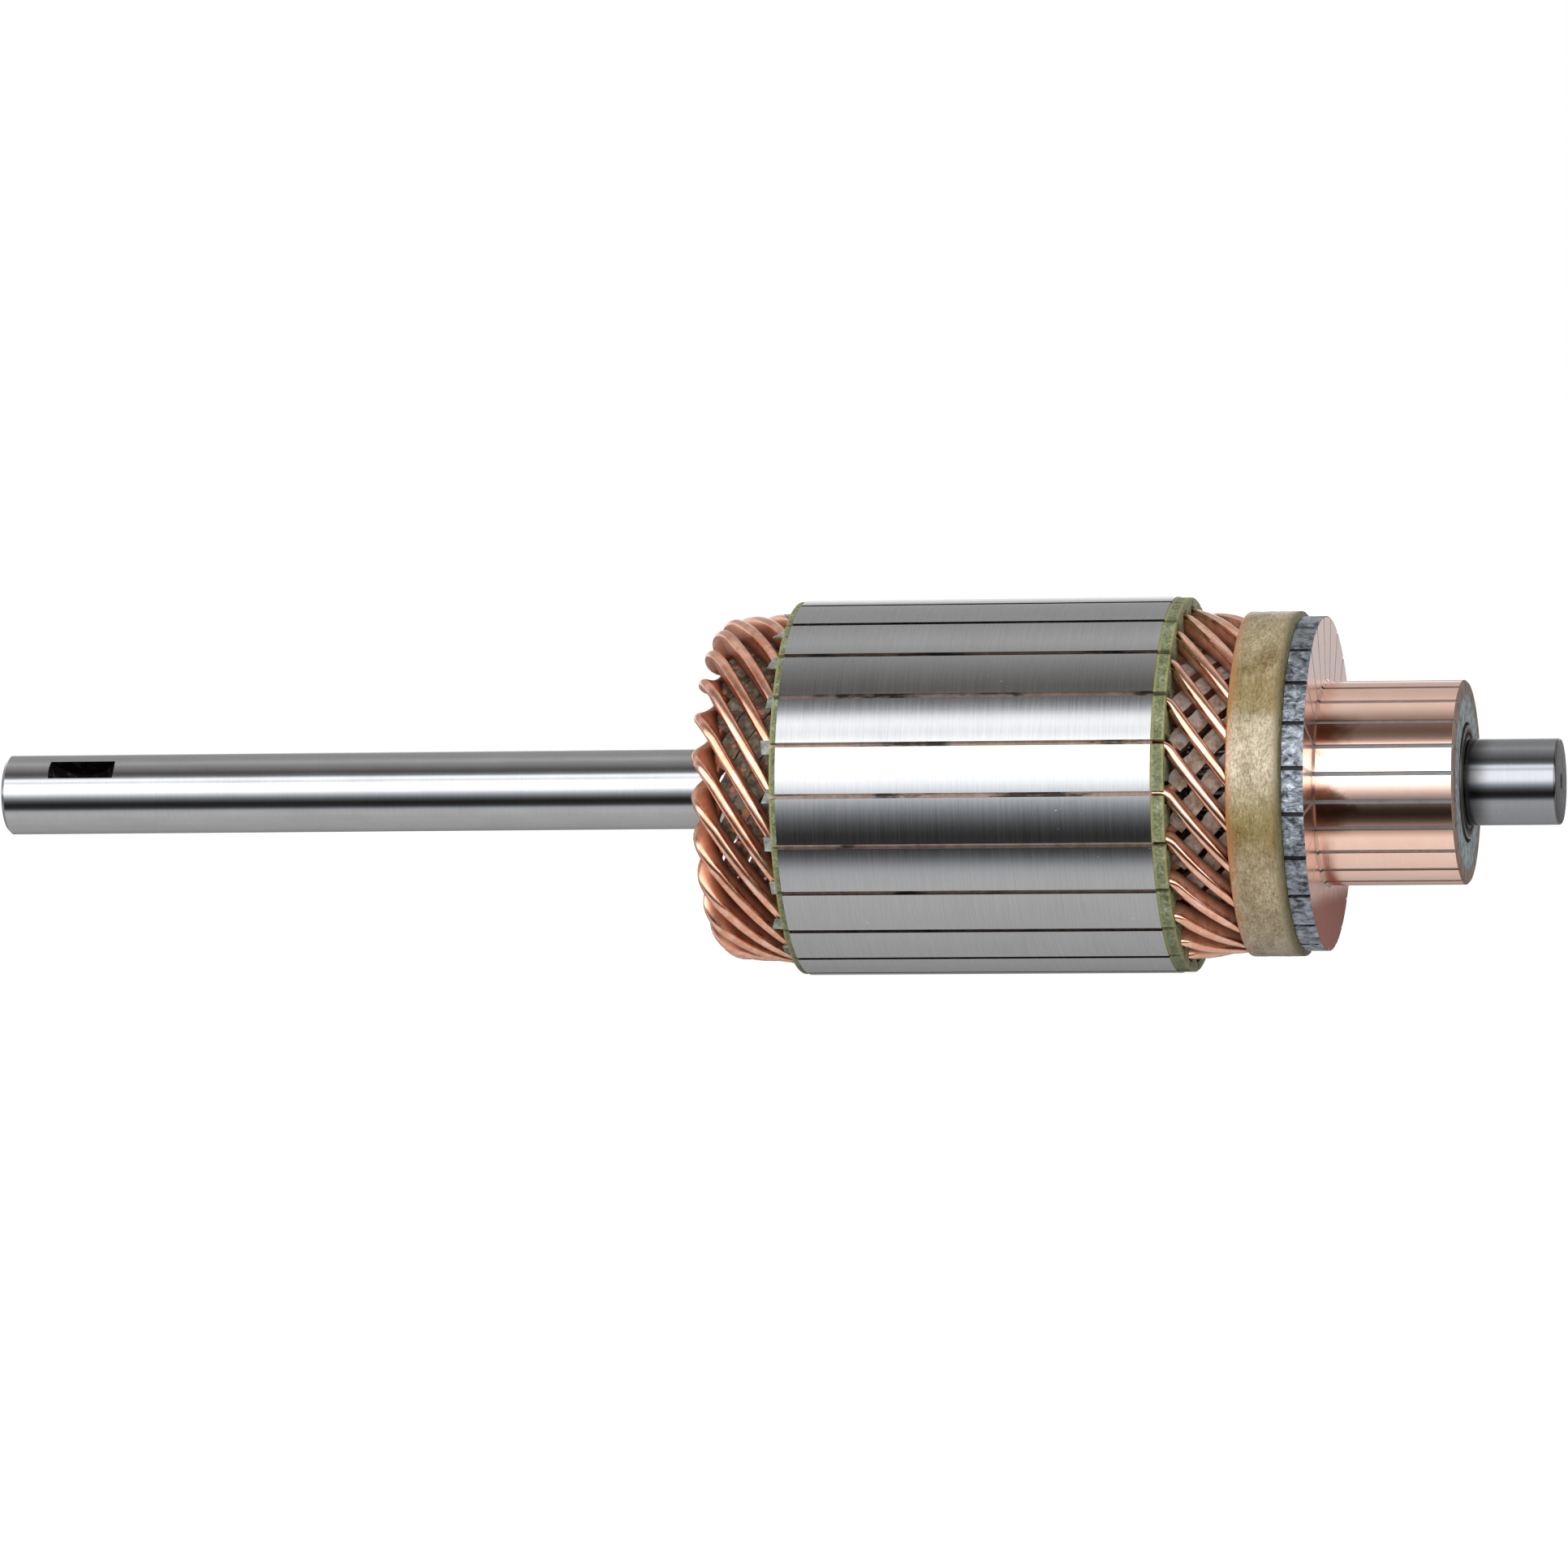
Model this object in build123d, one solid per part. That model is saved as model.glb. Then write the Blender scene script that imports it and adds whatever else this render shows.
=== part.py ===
from build123d import *
from math import atan2, cos, pi, radians, sin, tan
import os

# Wound armature of a small direct-current motor. Its shaft lies along X, with
# the commutator at the +X end. The origin is on the shaft's axis, inside the
# drive journal. Angles are measured about +X, from +Y towards +Z. Sizes are in
# millimetres.

# Shaft
journal_from_end = 60.0       # origin, from the shaft's drive end
shaft_d = 11.8                # drive journal
core_seat_d = 15.0            # press seat under core and winding
commutator_seat_d = 13.6
stub_d = 12.6                 # journal at the commutator end
stub_length = 13.5
shaft_chamfer = 0.5
stub_chamfer = 0.4
key_seat_width = 3.2
key_seat_length = 10.0        # chord of the cutter's arc at the shaft's surface
key_seat_depth = 3.2
key_seat_from_end = 7.1
key_seat_angle = 137.5
centre_hole_d = 2.4           # mouth of the centre-drilled holes
centre_pilot_d = 1.2
centre_hole_depth = 4.0
centre_hole_cone = 60.0

# Core
core_from_end = 121.8         # first lamination, from the shaft's drive end
core_d = 55.0
core_length = 55.0
slot_count = 23
slot_opening = 0.7
slot_lip = 1.4                # tooth tip that hooks over the slot
first_slot_angle = 180.0
drive_disc_t = 0.9
commutator_disc_t = 1.9
disc_step = 0.15              # fibre discs are this much smaller than the core
disc_slot_clear = 0.6         # their slots are wider by this on each side, for the bends

# Conductors
bar_w = 1.6
bar_h = 3.3
layer_gap = 0.55              # between the outer and the inner layer
liner_t = 0.22
liner_flap = 3.1              # its outer fold, beyond the core at the drive end
fit = 0.03                    # clearance on each side of a conductor or liner
leg_pitches = 3               # slots that each leg sweeps, at either end
drive_overhang = 12.6         # drive disc to the tip of the noses
drive_drop = 0.6              # outer layer dips by this over the drive overhang
nose_sweep = 24.2             # degrees that the folded nose takes
nose_swell = 0.4              # how much more of them it takes at its ends
nose_bend_r = 0.5             # inside radius of the fold
drive_bend_r = 1.4            # bend where a leg leaves its slot, drive end
commutator_bend_r = 2.0       # the same and the bend before the riser
bend_margin = 0.05            # straight conductor between core and bend, drive end
bend_lead = 1.0               # the other bend starts this far inside its disc
riser_entry = 0.9             # straight run of a leg before the riser
bend_steps = 2                # stations round a bend
drive_steps = 3               # stations along a straight leg, drive end
commutator_steps = 4          # the same, commutator end
fold_steps = 7                # stations round a nose
paper_t = 0.15
paper_w = 1.6

# Commutator
commutator_gap = 16.7         # commutator disc to riser
riser_drop = 3.1              # riser's rim below the core's surface
riser_w = 3.15
barrel_d = 29.8
barrel_length = 20.45
barrel_chamfer = 0.3
root_chamfer = 0.3            # corner between barrel and riser
strip_t = 0.65                # insulation between two segments
barrel_undercut = 0.3
riser_undercut = 0.5
segment_depth = 4.2           # segment's section under the barrel's surface
segment_rim = 2.0             # the same at the dovetailed ends
solder_t = 0.3                # solder over the conductor ends
conductor_seat = 2.5          # conductor's length inside the riser
bush_wall = 1.5
bush_chamfer = 0.5
bush_stand = 0.25             # bush stands out of the moulding
groove_w = 0.5                # ring groove between bush and moulding
groove_depth = 0.9

# Binding band
band_t = 1.0
band_w = 7.9
band_from_riser = 0.2
band_edge_r = 0.35
band_clear = 0.12             # between band and conductors
band_settle = 2.6             # conductors run level from here, inside the band

cut_margin = 1.0              # cutters reach this far beyond the surface

# Places along the shaft
shaft_start = -journal_from_end
core_start = shaft_start + core_from_end
core_end = core_start + core_length
drive_face = core_start - drive_disc_t
nose_tip = drive_face - drive_overhang
commutator_face = core_end + commutator_disc_t
riser_start = commutator_face + commutator_gap
riser_end = riser_start + riser_w
barrel_end = riser_end + barrel_length
shaft_end = barrel_end + bush_stand + stub_length
band_end = riser_start - band_from_riser
band_start = band_end - band_w

# Radii
core_r = core_d / 2
seat_r = core_seat_d / 2
commutator_seat_r = commutator_seat_d / 2
riser_r = core_r - riser_drop
barrel_r = barrel_d / 2
bush_r = commutator_seat_r + bush_wall
layer_step = bar_h + layer_gap
slot_roof_r = core_r - slot_lip
slot_outer_r = slot_roof_r - liner_t - 2 * fit - bar_h / 2
slot_floor_r = slot_outer_r - layer_step - bar_h / 2 - liner_t - 2 * fit
slot_w = bar_w + 2 * liner_t + 4 * fit
drive_outer_r = slot_outer_r - drive_drop
drive_leave = core_start - bend_margin
commutator_leave = commutator_face - bend_lead
fold_r = nose_bend_r + bar_h / 2
nose_start = nose_tip + fold_r + bar_h / 2
riser_outer_r = riser_r - solder_t - bar_h / 2
pitch = 360 / slot_count
leg_sweep = radians(leg_pitches * pitch)


def turned(corners):
    """A body turned about X from (x, radius) corners."""
    return revolve(make_face(Polyline(*corners, close=True)), Axis.X)


def spread(piece, number):
    """The piece made for angle 0, turned to slot number."""
    return piece.rotate(Axis.X, first_slot_angle + number * pitch)


def save(piece, name):
    export_step(piece, "parts/" + name + ".step")


def save_group(pieces, name):
    save(Compound(children=list(pieces)), name)


# Shaft

def centre_hole(x, towards):
    """Centre-drilled hole with a countersunk mouth, cut from the end at x."""
    pilot_r = centre_pilot_d / 2
    mouth = (centre_hole_d / 2 - pilot_r) / tan(radians(centre_hole_cone / 2))
    corners = [
        (x - towards * cut_margin, 0),
        (x - towards * cut_margin, centre_hole_d / 2),
        (x, centre_hole_d / 2),
        (x + towards * mouth, pilot_r),
        (x + towards * centre_hole_depth, pilot_r),
        (x + towards * (centre_hole_depth + pilot_r), 0),
    ]
    return turned(corners)


def key_seat():
    """Seat for a half-round key, cut by a disc cutter sunk straight in."""
    half = key_seat_length / 2
    cutter_r = (half ** 2 + key_seat_depth ** 2) / (2 * key_seat_depth)
    height = shaft_d / 2 - key_seat_depth + cutter_r
    middle = shaft_start + key_seat_from_end + half
    cutter = Pos(middle, height, 0) * Cylinder(cutter_r, key_seat_width)
    return cutter.rotate(Axis.X, key_seat_angle)


def shaft():
    r = shaft_d / 2
    stub_r = stub_d / 2
    corners = [
        (shaft_start, 0),
        (shaft_start, r - shaft_chamfer),
        (shaft_start + shaft_chamfer, r),
        (nose_tip, r),
        (nose_tip, seat_r - shaft_chamfer),
        (nose_tip + shaft_chamfer, seat_r),
        (commutator_face, seat_r),
        (commutator_face, commutator_seat_r),
        (barrel_end + bush_stand, commutator_seat_r),
        (barrel_end + bush_stand, stub_r),
        (shaft_end - stub_chamfer, stub_r),
        (shaft_end, stub_r - stub_chamfer),
        (shaft_end, 0),
    ]
    body = turned(corners)
    body -= key_seat()
    body -= centre_hole(shaft_start, 1)
    body -= centre_hole(shaft_end, -1)
    return body


# Core and fibre discs

def slot_outline(width, reach):
    """A slot at angle 0: the conductor well and its narrow mouth."""
    well = slot_roof_r - slot_floor_r
    mouth = reach - slot_roof_r
    outline = Pos(slot_floor_r + well / 2, 0) * Rectangle(well, width)
    outline += Pos(slot_roof_r + mouth / 2, 0) * Rectangle(mouth, slot_opening)
    return outline


def slotted_ring(start, thickness, outer_r, width):
    """Toothed ring from start, with every slot cut through it."""
    ring = Circle(outer_r) - Circle(seat_r)
    slot = slot_outline(width, outer_r + cut_margin)
    for number in range(slot_count):
        ring -= Rot(0, 0, first_slot_angle + number * pitch) * slot
    return extrude(Plane.YZ.offset(start) * ring, thickness)


# Conductor paths
# A station on a path is (x, radius, angle, fold). Fold is how far the
# conductor's outer face has tipped over towards -X: none on the outer leg, a
# right angle at the nose's tip and half a turn on the inner leg.

def steps(count):
    return [number / count for number in range(1, count + 1)]


def single_bend(run, sweep_length, bend_r):
    """Slant and straight of a bend and a straight to (run, sweep_length)."""
    across = sweep_length - bend_r
    straight = (run ** 2 + across ** 2 - bend_r ** 2) ** 0.5
    slant = atan2(across, run) + atan2(bend_r, straight)
    return slant, straight


def double_bend(run, sweep_length, bend_r):
    """The same with an equal and opposite bend at the far end."""
    across = sweep_length - 2 * bend_r
    straight = (run ** 2 + across ** 2 - 4 * bend_r ** 2) ** 0.5
    slant = atan2(across, run) + atan2(2 * bend_r, straight)
    return slant, straight


def bend_and_straight(slant, straight, bend_r, layer_r, straight_steps):
    """(run, sweep) points of a bend at the slot and the straight after it."""
    points = [(0.0, 0.0)]
    for part in steps(bend_steps):
        turn = part * slant
        points.append((bend_r * sin(turn), bend_r * (1 - cos(turn)) / layer_r))
    bend_run, bend_sweep = points[-1]
    for part in steps(straight_steps):
        along = part * straight
        points.append((bend_run + along * cos(slant), bend_sweep + along * sin(slant) / layer_r))
    return points


def drive_leg(layer_r):
    """(run, sweep) points from the slot to the nose."""
    sweep = leg_sweep - radians(nose_sweep) / 2
    slant, straight = single_bend(drive_leave - nose_start, sweep * layer_r, drive_bend_r)
    return bend_and_straight(slant, straight, drive_bend_r, layer_r, drive_steps)


def commutator_leg(layer_r):
    """(run, sweep) points from the slot to the riser."""
    run = commutator_gap + bend_lead - riser_entry
    slant, straight = double_bend(run, leg_sweep * layer_r, commutator_bend_r)
    points = bend_and_straight(slant, straight, commutator_bend_r, layer_r, commutator_steps)[:-1]
    for x, sweep in reversed(points[:bend_steps + 1]):
        points.append((run - x, leg_sweep - sweep))
    return points


def commutator_radius(x, layer):
    """Middle radius of a layer between its slot and the riser."""
    settle = band_start + band_settle
    part = min(1.0, (x - commutator_leave) / (settle - commutator_leave))
    return slot_outer_r + part * (riser_outer_r - slot_outer_r) - layer * layer_step


def commutator_stations(layer, slot_angle, sense):
    """Stations from the slot to the riser. Sense is the way the leg sweeps."""
    mean_r = (slot_outer_r + riser_outer_r) / 2 - layer * layer_step
    stations = []
    for run, sweep in commutator_leg(mean_r):
        x = commutator_leave + run
        stations.append((x, commutator_radius(x, layer), slot_angle + sense * sweep, layer * pi))
    end = riser_start + conductor_seat
    stations.append((end, riser_outer_r - layer * layer_step, slot_angle + sense * leg_sweep, layer * pi))
    return stations


def drive_stations(layer, slot_angle, sense):
    """Stations from the slot to where the nose begins."""
    layer_r = drive_outer_r - layer * 2 * fold_r
    slot_r = slot_outer_r - layer * layer_step
    points = drive_leg(layer_r)
    whole = points[-1][0]
    stations = []
    for run, sweep in points:
        r = slot_r + (layer_r - slot_r) * run / whole
        stations.append((drive_leave - run, r, slot_angle + sense * sweep, layer * pi))
    return stations


def nose_stations():
    """The fold from the outer to the inner layer, between its end stations."""
    middle_r = drive_outer_r - fold_r
    start_angle = -(leg_sweep - radians(nose_sweep) / 2)
    rate = radians(nose_sweep) / pi
    stations = []
    for part in steps(fold_steps)[:-1]:
        fold = part * pi
        angle = start_angle - rate * (fold + nose_swell * sin(2 * fold) / 2)
        stations.append((nose_start - fold_r * sin(fold), middle_r + fold_r * cos(fold), angle, fold))
    return stations


def coil_path():
    """All stations of one hairpin coil whose outer leg is in the slot at 0."""
    inner_slot = -2 * leg_sweep
    path = list(reversed(commutator_stations(0, 0.0, 1)))
    path += drive_stations(0, 0.0, -1)
    path += nose_stations()
    path += reversed(drive_stations(1, inner_slot, 1))
    path += commutator_stations(1, inner_slot, -1)
    return path


def place(x, r, angle):
    return Vector(x, r * cos(angle), r * sin(angle))


def section(stations, index, width, height, lift=0.0):
    """Rectangular section square to the path at a station, lift off its middle."""
    x, r, angle, fold = stations[index]
    before = stations[max(index - 1, 0)]
    after = stations[min(index + 1, len(stations) - 1)]
    here = place(x, r, angle)
    heading = (here - place(*before[:3])).normalized() if index > 0 else Vector()
    if index < len(stations) - 1:
        heading = heading + (place(*after[:3]) - here).normalized()
    heading = heading.normalized()
    radial = Vector(0, cos(angle), sin(angle))
    outward = radial * cos(fold) - Vector(1, 0, 0) * sin(fold)
    outward = (outward - heading * outward.dot(heading)).normalized()
    middle = here + outward * lift
    plane = Plane(origin=middle, x_dir=outward, z_dir=heading)
    return plane * Rectangle(height, width)


def swept_bar(stations, indexes, width, height, lift=0.0):
    return loft([section(stations, index, width, height, lift) for index in indexes], ruled=True)


def layer_papers(path):
    """Insulation strips on the inner leg's outer face: drive and commutator end."""
    lift = -(bar_h + paper_t) / 2 - fit
    drive_count = len(drive_stations(1, 0.0, 1))
    commutator_count = len(commutator_stations(1, 0.0, 1))
    slot_index = len(path) - commutator_count
    drive_indexes = range(slot_index - drive_count + 1, slot_index - bend_steps)
    commutator_indexes = range(slot_index + bend_steps, len(path) - 1)
    return [swept_bar(path, indexes, paper_w, paper_t, lift)
            for indexes in (drive_indexes, commutator_indexes)]


# Slot liners

def slot_liner():
    """Folded paper sleeve with one window for each conductor of the slot."""
    flap_r = slot_roof_r - fit - liner_t / 2
    height = slot_roof_r - slot_floor_r - 2 * fit
    width = slot_w - 2 * fit
    outline = Pos(slot_floor_r + fit + height / 2, 0) * Rectangle(height, width)
    window_h = bar_h + 2 * fit
    window_w = bar_w + 2 * fit
    for layer in range(2):
        outline -= Pos(slot_outer_r - layer * layer_step, 0) * Rectangle(window_h, window_w)
    sleeve = extrude(Plane.YZ.offset(core_start) * outline, core_length)
    flap = Pos(core_start - liner_flap / 2, flap_r, 0) * Box(liner_flap + 2 * fit, liner_t, width)
    return sleeve + flap


# Commutator

def segment_wedge():
    """The room of one segment, between the insulation strips on its sides."""
    half = radians(pitch / 2)
    apex = strip_t / 2 / sin(half)
    far = riser_r + 2 * cut_margin
    outline = make_face(Polyline((apex, 0), (far, (far - apex) * tan(half)),
                                 (far, (apex - far) * tan(half)), close=True))
    return extrude(Plane.YZ.offset(riser_start) * outline, riser_w + barrel_length)


def segment_profile():
    """Turned profile of the copper: riser, barrel and dovetailed root."""
    rim_r = barrel_r - segment_rim
    deep_r = barrel_r - segment_depth
    slope = rim_r - deep_r
    return [
        (riser_start, rim_r),
        (riser_start, riser_r),
        (riser_end, riser_r),
        (riser_end, barrel_r + root_chamfer),
        (riser_end + root_chamfer, barrel_r),
        (barrel_end - barrel_chamfer, barrel_r),
        (barrel_end, barrel_r - barrel_chamfer),
        (barrel_end, rim_r),
        (barrel_end - slope, deep_r),
        (riser_start + slope, deep_r),
    ]


def conductor_slot():
    """Blind slot in the riser for the two conductor ends, at angle 0."""
    floor_r = riser_outer_r - layer_step - bar_h / 2 - fit
    height = riser_r + cut_margin - floor_r
    depth = conductor_seat + fit
    outline = Pos(floor_r + height / 2, 0) * Rectangle(height, bar_w + 2 * fit)
    return extrude(Plane.YZ.offset(riser_start) * outline, depth)


def commutator_segment():
    """One segment at angle 0, before its conductor slot is sawn."""
    return turned(segment_profile()) & segment_wedge()


def solder_cap():
    """Solder over the outer conductor's end, flush with the riser's rim."""
    top_r = riser_outer_r + bar_h / 2 + fit
    outline = Pos(top_r + solder_t, 0) * Rectangle(2 * solder_t, bar_w + 2 * fit)
    block = extrude(Plane.YZ.offset(riser_start) * outline, conductor_seat + fit)
    rim = turned([(riser_start, 0), (riser_start, riser_r), (riser_end, riser_r), (riser_end, 0)])
    return block & rim


def commutator_moulding(segments):
    """Resin body, with its strips between the segments and a ring groove."""
    corners = [
        (riser_start, bush_r),
        (riser_start, riser_r - riser_undercut),
        (riser_end, riser_r - riser_undercut),
        (riser_end, barrel_r - barrel_undercut),
        (barrel_end, barrel_r - barrel_undercut),
        (barrel_end, bush_r + groove_w),
        (barrel_end - groove_depth, bush_r + groove_w),
        (barrel_end - groove_depth, bush_r),
    ]
    body = turned(corners)
    for segment in segments:
        body -= segment
    return body


def commutator_bush():
    end = barrel_end + bush_stand
    corners = [
        (riser_start, commutator_seat_r),
        (riser_start, bush_r),
        (end, bush_r),
        (end, commutator_seat_r + bush_chamfer),
        (end - bush_chamfer, commutator_seat_r),
    ]
    return turned(corners)


# Binding band

def binding_band():
    """Wound tape whose inside follows the dip of the outer conductors."""
    clear = bar_h / 2 + band_clear
    settle = band_start + band_settle
    outer_r = riser_outer_r + clear + band_t
    inside = [
        (band_end, riser_outer_r + clear),
        (settle, riser_outer_r + clear),
        (band_start, commutator_radius(band_start, 0) + clear),
    ]
    outside = [(band_start, outer_r), (band_end, outer_r)]
    band = turned(inside + outside)
    rims = band.edges().filter_by(GeomType.CIRCLE).group_by(SortBy.RADIUS)[-1]
    return fillet(rims, band_edge_r)


os.makedirs("parts", exist_ok=True)

save(shaft(), "shaft")
disc_r = core_r - disc_step
disc_slot_w = slot_w + 2 * disc_slot_clear
save(slotted_ring(core_start, core_length, core_r, slot_w), "core_stack")
save(slotted_ring(drive_face, drive_disc_t, disc_r, disc_slot_w), "end_disc_drive")
save(slotted_ring(core_end, commutator_disc_t, disc_r, disc_slot_w), "end_disc_commutator")

path = coil_path()
coil = swept_bar(path, range(len(path)), bar_w, bar_h)
drive_paper, commutator_paper = layer_papers(path)
liner = slot_liner()
segment = commutator_segment()
slotted_segment = segment - conductor_slot()
cap = solder_cap()
slots = range(slot_count)
for number in slots:
    save(spread(coil, number), "coil_%02d" % (number + 1))
    save(spread(slotted_segment, number), "commutator_bar_%02d" % (number + 1))
save_group([spread(liner, number) for number in slots], "slot_liners")
save_group([spread(drive_paper, number) for number in slots], "layer_paper_drive")
save_group([spread(commutator_paper, number) for number in slots], "layer_paper_commutator")
save_group([spread(cap, number) for number in slots], "riser_solder")
save(commutator_moulding([spread(segment, number) for number in slots]), "commutator_moulding")
save(commutator_bush(), "commutator_bush")
save(binding_band(), "binding_band")
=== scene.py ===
import math

import bmesh
import bpy
from mathutils import Matrix, Vector, noise


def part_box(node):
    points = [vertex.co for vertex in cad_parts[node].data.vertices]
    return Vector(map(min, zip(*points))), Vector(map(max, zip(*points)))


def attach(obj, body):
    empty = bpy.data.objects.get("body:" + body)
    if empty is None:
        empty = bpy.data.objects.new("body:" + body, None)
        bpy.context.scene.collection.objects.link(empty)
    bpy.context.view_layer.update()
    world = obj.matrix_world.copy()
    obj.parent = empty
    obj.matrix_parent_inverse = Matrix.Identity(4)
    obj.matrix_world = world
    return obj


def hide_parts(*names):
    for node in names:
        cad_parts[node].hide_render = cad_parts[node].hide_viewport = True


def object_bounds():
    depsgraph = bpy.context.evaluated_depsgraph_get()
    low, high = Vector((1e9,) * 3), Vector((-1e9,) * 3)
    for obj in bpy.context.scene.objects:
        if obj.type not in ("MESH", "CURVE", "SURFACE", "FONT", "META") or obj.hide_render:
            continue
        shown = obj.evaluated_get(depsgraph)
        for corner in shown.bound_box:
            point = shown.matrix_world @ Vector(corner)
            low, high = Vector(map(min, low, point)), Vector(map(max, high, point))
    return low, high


# Wound armature of a small direct-current motor, lying on a pale floor with its
# commutator to the right. Lengths are in millimetres, times mm where they reach
# Blender. Angles about the shaft run from +Y towards +Z, as in the frame.

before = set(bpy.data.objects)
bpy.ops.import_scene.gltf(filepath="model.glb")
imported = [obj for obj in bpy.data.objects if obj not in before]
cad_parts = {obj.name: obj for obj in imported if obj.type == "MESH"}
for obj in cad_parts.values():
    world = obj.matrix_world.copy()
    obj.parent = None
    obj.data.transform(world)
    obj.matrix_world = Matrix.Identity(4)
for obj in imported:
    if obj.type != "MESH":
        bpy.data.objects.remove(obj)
cad_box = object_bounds()
mm = 0.001


# Frame sizes

def ends(node):
    """Where a node starts and ends along the shaft, in millimetres."""
    low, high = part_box(node)
    return low[0] / mm, high[0] / mm


def radius(node):
    """A turned node's largest radius, in millimetres."""
    low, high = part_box(node)
    return max(high[2], -low[2]) / mm


shaft_start, shaft_end = ends("shaft")
core_start, core_end = ends("core_stack")
drive_face = ends("end_disc_drive")[0]
commutator_face = ends("end_disc_commutator")[1]
riser_start, barrel_end = ends("commutator_bar_01")
band_start, band_end = ends("binding_band")
nose_tip = ends("coil_01")[0]
core_r = radius("core_stack")
bush_end = ends("commutator_bush")[1]

# Shaft
shaft_r = 11.8 / 2
stub_r = 12.6 / 2
seat_r = 15.0 / 2
commutator_seat_r = 13.6 / 2
shaft_chamfer = 0.5
stub_edge_r = 0.4              # rounded, not chamfered as in the CAD
key_seat_w = 3.2
key_seat_length = 10.0
key_seat_depth = 3.2
key_seat_from_end = 7.1
key_seat_angle = math.radians(137.5)
centre_hole_r = 2.4 / 2
centre_pilot_r = 1.2 / 2
centre_hole_depth = 4.0
centre_cone = 1.0
centre_tip = 0.6

# Winding
slot_count = 23
pitch = math.tau / slot_count
first_slot_angle = math.pi
bar_w = 1.6
bar_h = 3.3
bar_edge_r = 0.66
layer_step = 3.85
slot_outer_r = 24.17
drive_drop = 0.6              # the outer layer dips by this towards the noses
leg_sweep = 3 * pitch         # that a leg goes round the shaft, at either end
nose_sweep = math.radians(24.2)
nose_swell = 0.4              # how much more of the sweep the nose takes at its ends
nose_bend_r = 0.5
drive_bend_r = 1.4
commutator_bend_r = 2.0
bend_margin = 0.05            # straight bar between core and bend, drive end
bend_lead = 1.0               # the other bend starts this far inside its disc
riser_entry = 0.9             # straight run before the riser
conductor_seat = 2.5          # length inside the riser
riser_outer_r = 22.45
band_settle = 2.6             # the bars run level from here, inside the band
bend_steps = 5
leg_steps = 9
drive_paper_w = 3.0
commutator_paper_w = 2.8
paper_t = 0.15
paper_lift = 0.04             # off the inner bars
paper_ragged = 0.14
fold_steps = 14

# Commutator
riser_w = 3.15
riser_r = 24.4
barrel_r = 14.9
riser_end = riser_start + riser_w

# Binding band
band_clear = 0.12             # between the band and the bars
band_edge_r = 0.35
band_rise = 0.35              # of its inside, over the bars as they spread
band_lap = 0.15               # the tape spreads this far towards the riser
band_wave = 0.10
band_grain = 0.04
band_fray = 0.30
band_rows = 16                # of faces across the tape

# Slot liners
flap_cut = 0.9                # mean length that the flaps lose to tears
flap_ragged = 1.4


# Mesh helpers

def deselect():
    if bpy.context.mode != "OBJECT":
        bpy.ops.object.mode_set(mode="OBJECT")
    bpy.ops.object.select_all(action="DESELECT")


def pick(piece):
    deselect()
    piece.select_set(True)
    bpy.context.view_layer.objects.active = piece


def new_piece(name, mesh):
    piece = bpy.data.objects.new(name, mesh)
    bpy.context.scene.collection.objects.link(piece)
    return piece


def turned(name, corners, facets=240, closed=False):
    """A body spun about the shaft's axis from (x, radius) corners."""
    deselect()
    bpy.ops.mesh.primitive_plane_add(size=mm)
    piece = bpy.context.object
    piece.name = name
    bpy.ops.object.mode_set(mode="EDIT")
    bpy.ops.mesh.select_all(action="SELECT")
    bpy.ops.mesh.merge(type="CENTER")
    places = [Vector((x * mm, 0, r * mm)) for x, r in corners]
    if closed:
        places.append(places[0])
    bpy.ops.transform.translate(value=places[0])
    for here, after in zip(places, places[1:]):
        bpy.ops.mesh.extrude_vertices_move(TRANSFORM_OT_translate={"value": after - here})
    bpy.ops.mesh.select_all(action="SELECT")
    bpy.ops.mesh.spin(steps=facets, angle=math.tau, center=(0, 0, 0), axis=(1, 0, 0))
    bpy.ops.mesh.select_all(action="SELECT")
    bpy.ops.mesh.remove_doubles(threshold=1e-6)
    bpy.ops.mesh.normals_make_consistent(inside=False)
    bpy.ops.object.mode_set(mode="OBJECT")
    return piece


def smooth(piece, degrees=30):
    pick(piece)
    bpy.ops.object.shade_smooth_by_angle(angle=math.radians(degrees))


def round_normals(piece):
    """Exact normals for faces turned about the shaft, however few facets they have."""
    mesh = piece.data
    normals = []
    for face in mesh.polygons:
        n = face.normal
        middle = face.center
        across = Vector((0, middle.y, middle.z)).normalized()
        round_face = abs(n.cross(across).x) < 0.08
        outwards = math.copysign(math.hypot(n.y, n.z), n.dot(across))
        for index in face.vertices:
            v = mesh.vertices[index].co
            radial = Vector((0, v.y, v.z)).normalized()
            exact = Vector((n.x, 0, 0)) + outwards * radial
            normals.append(exact.normalized() if round_face else n.copy())
    mesh.shade_smooth()
    mesh.normals_split_custom_set(normals)


def cad_copy(node, name):
    """A merged copy of a node's own mesh, to be given a finer finish."""
    piece = new_piece(name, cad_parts[node].data.copy())
    piece.data.materials.clear()
    pick(piece)
    bpy.ops.mesh.customdata_custom_splitnormals_clear()
    bpy.ops.object.mode_set(mode="EDIT")
    bpy.ops.mesh.select_all(action="SELECT")
    bpy.ops.mesh.remove_doubles(threshold=1e-7)
    bpy.ops.object.mode_set(mode="OBJECT")
    return piece


def settle(piece, finish, slot, *nodes):
    """The piece gets its finish and stands for its nodes; slot is not used."""
    piece.data.materials.clear()
    piece.data.materials.append(finish)
    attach(piece, "root")
    if nodes:
        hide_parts(*nodes)


# Shader helpers

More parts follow.
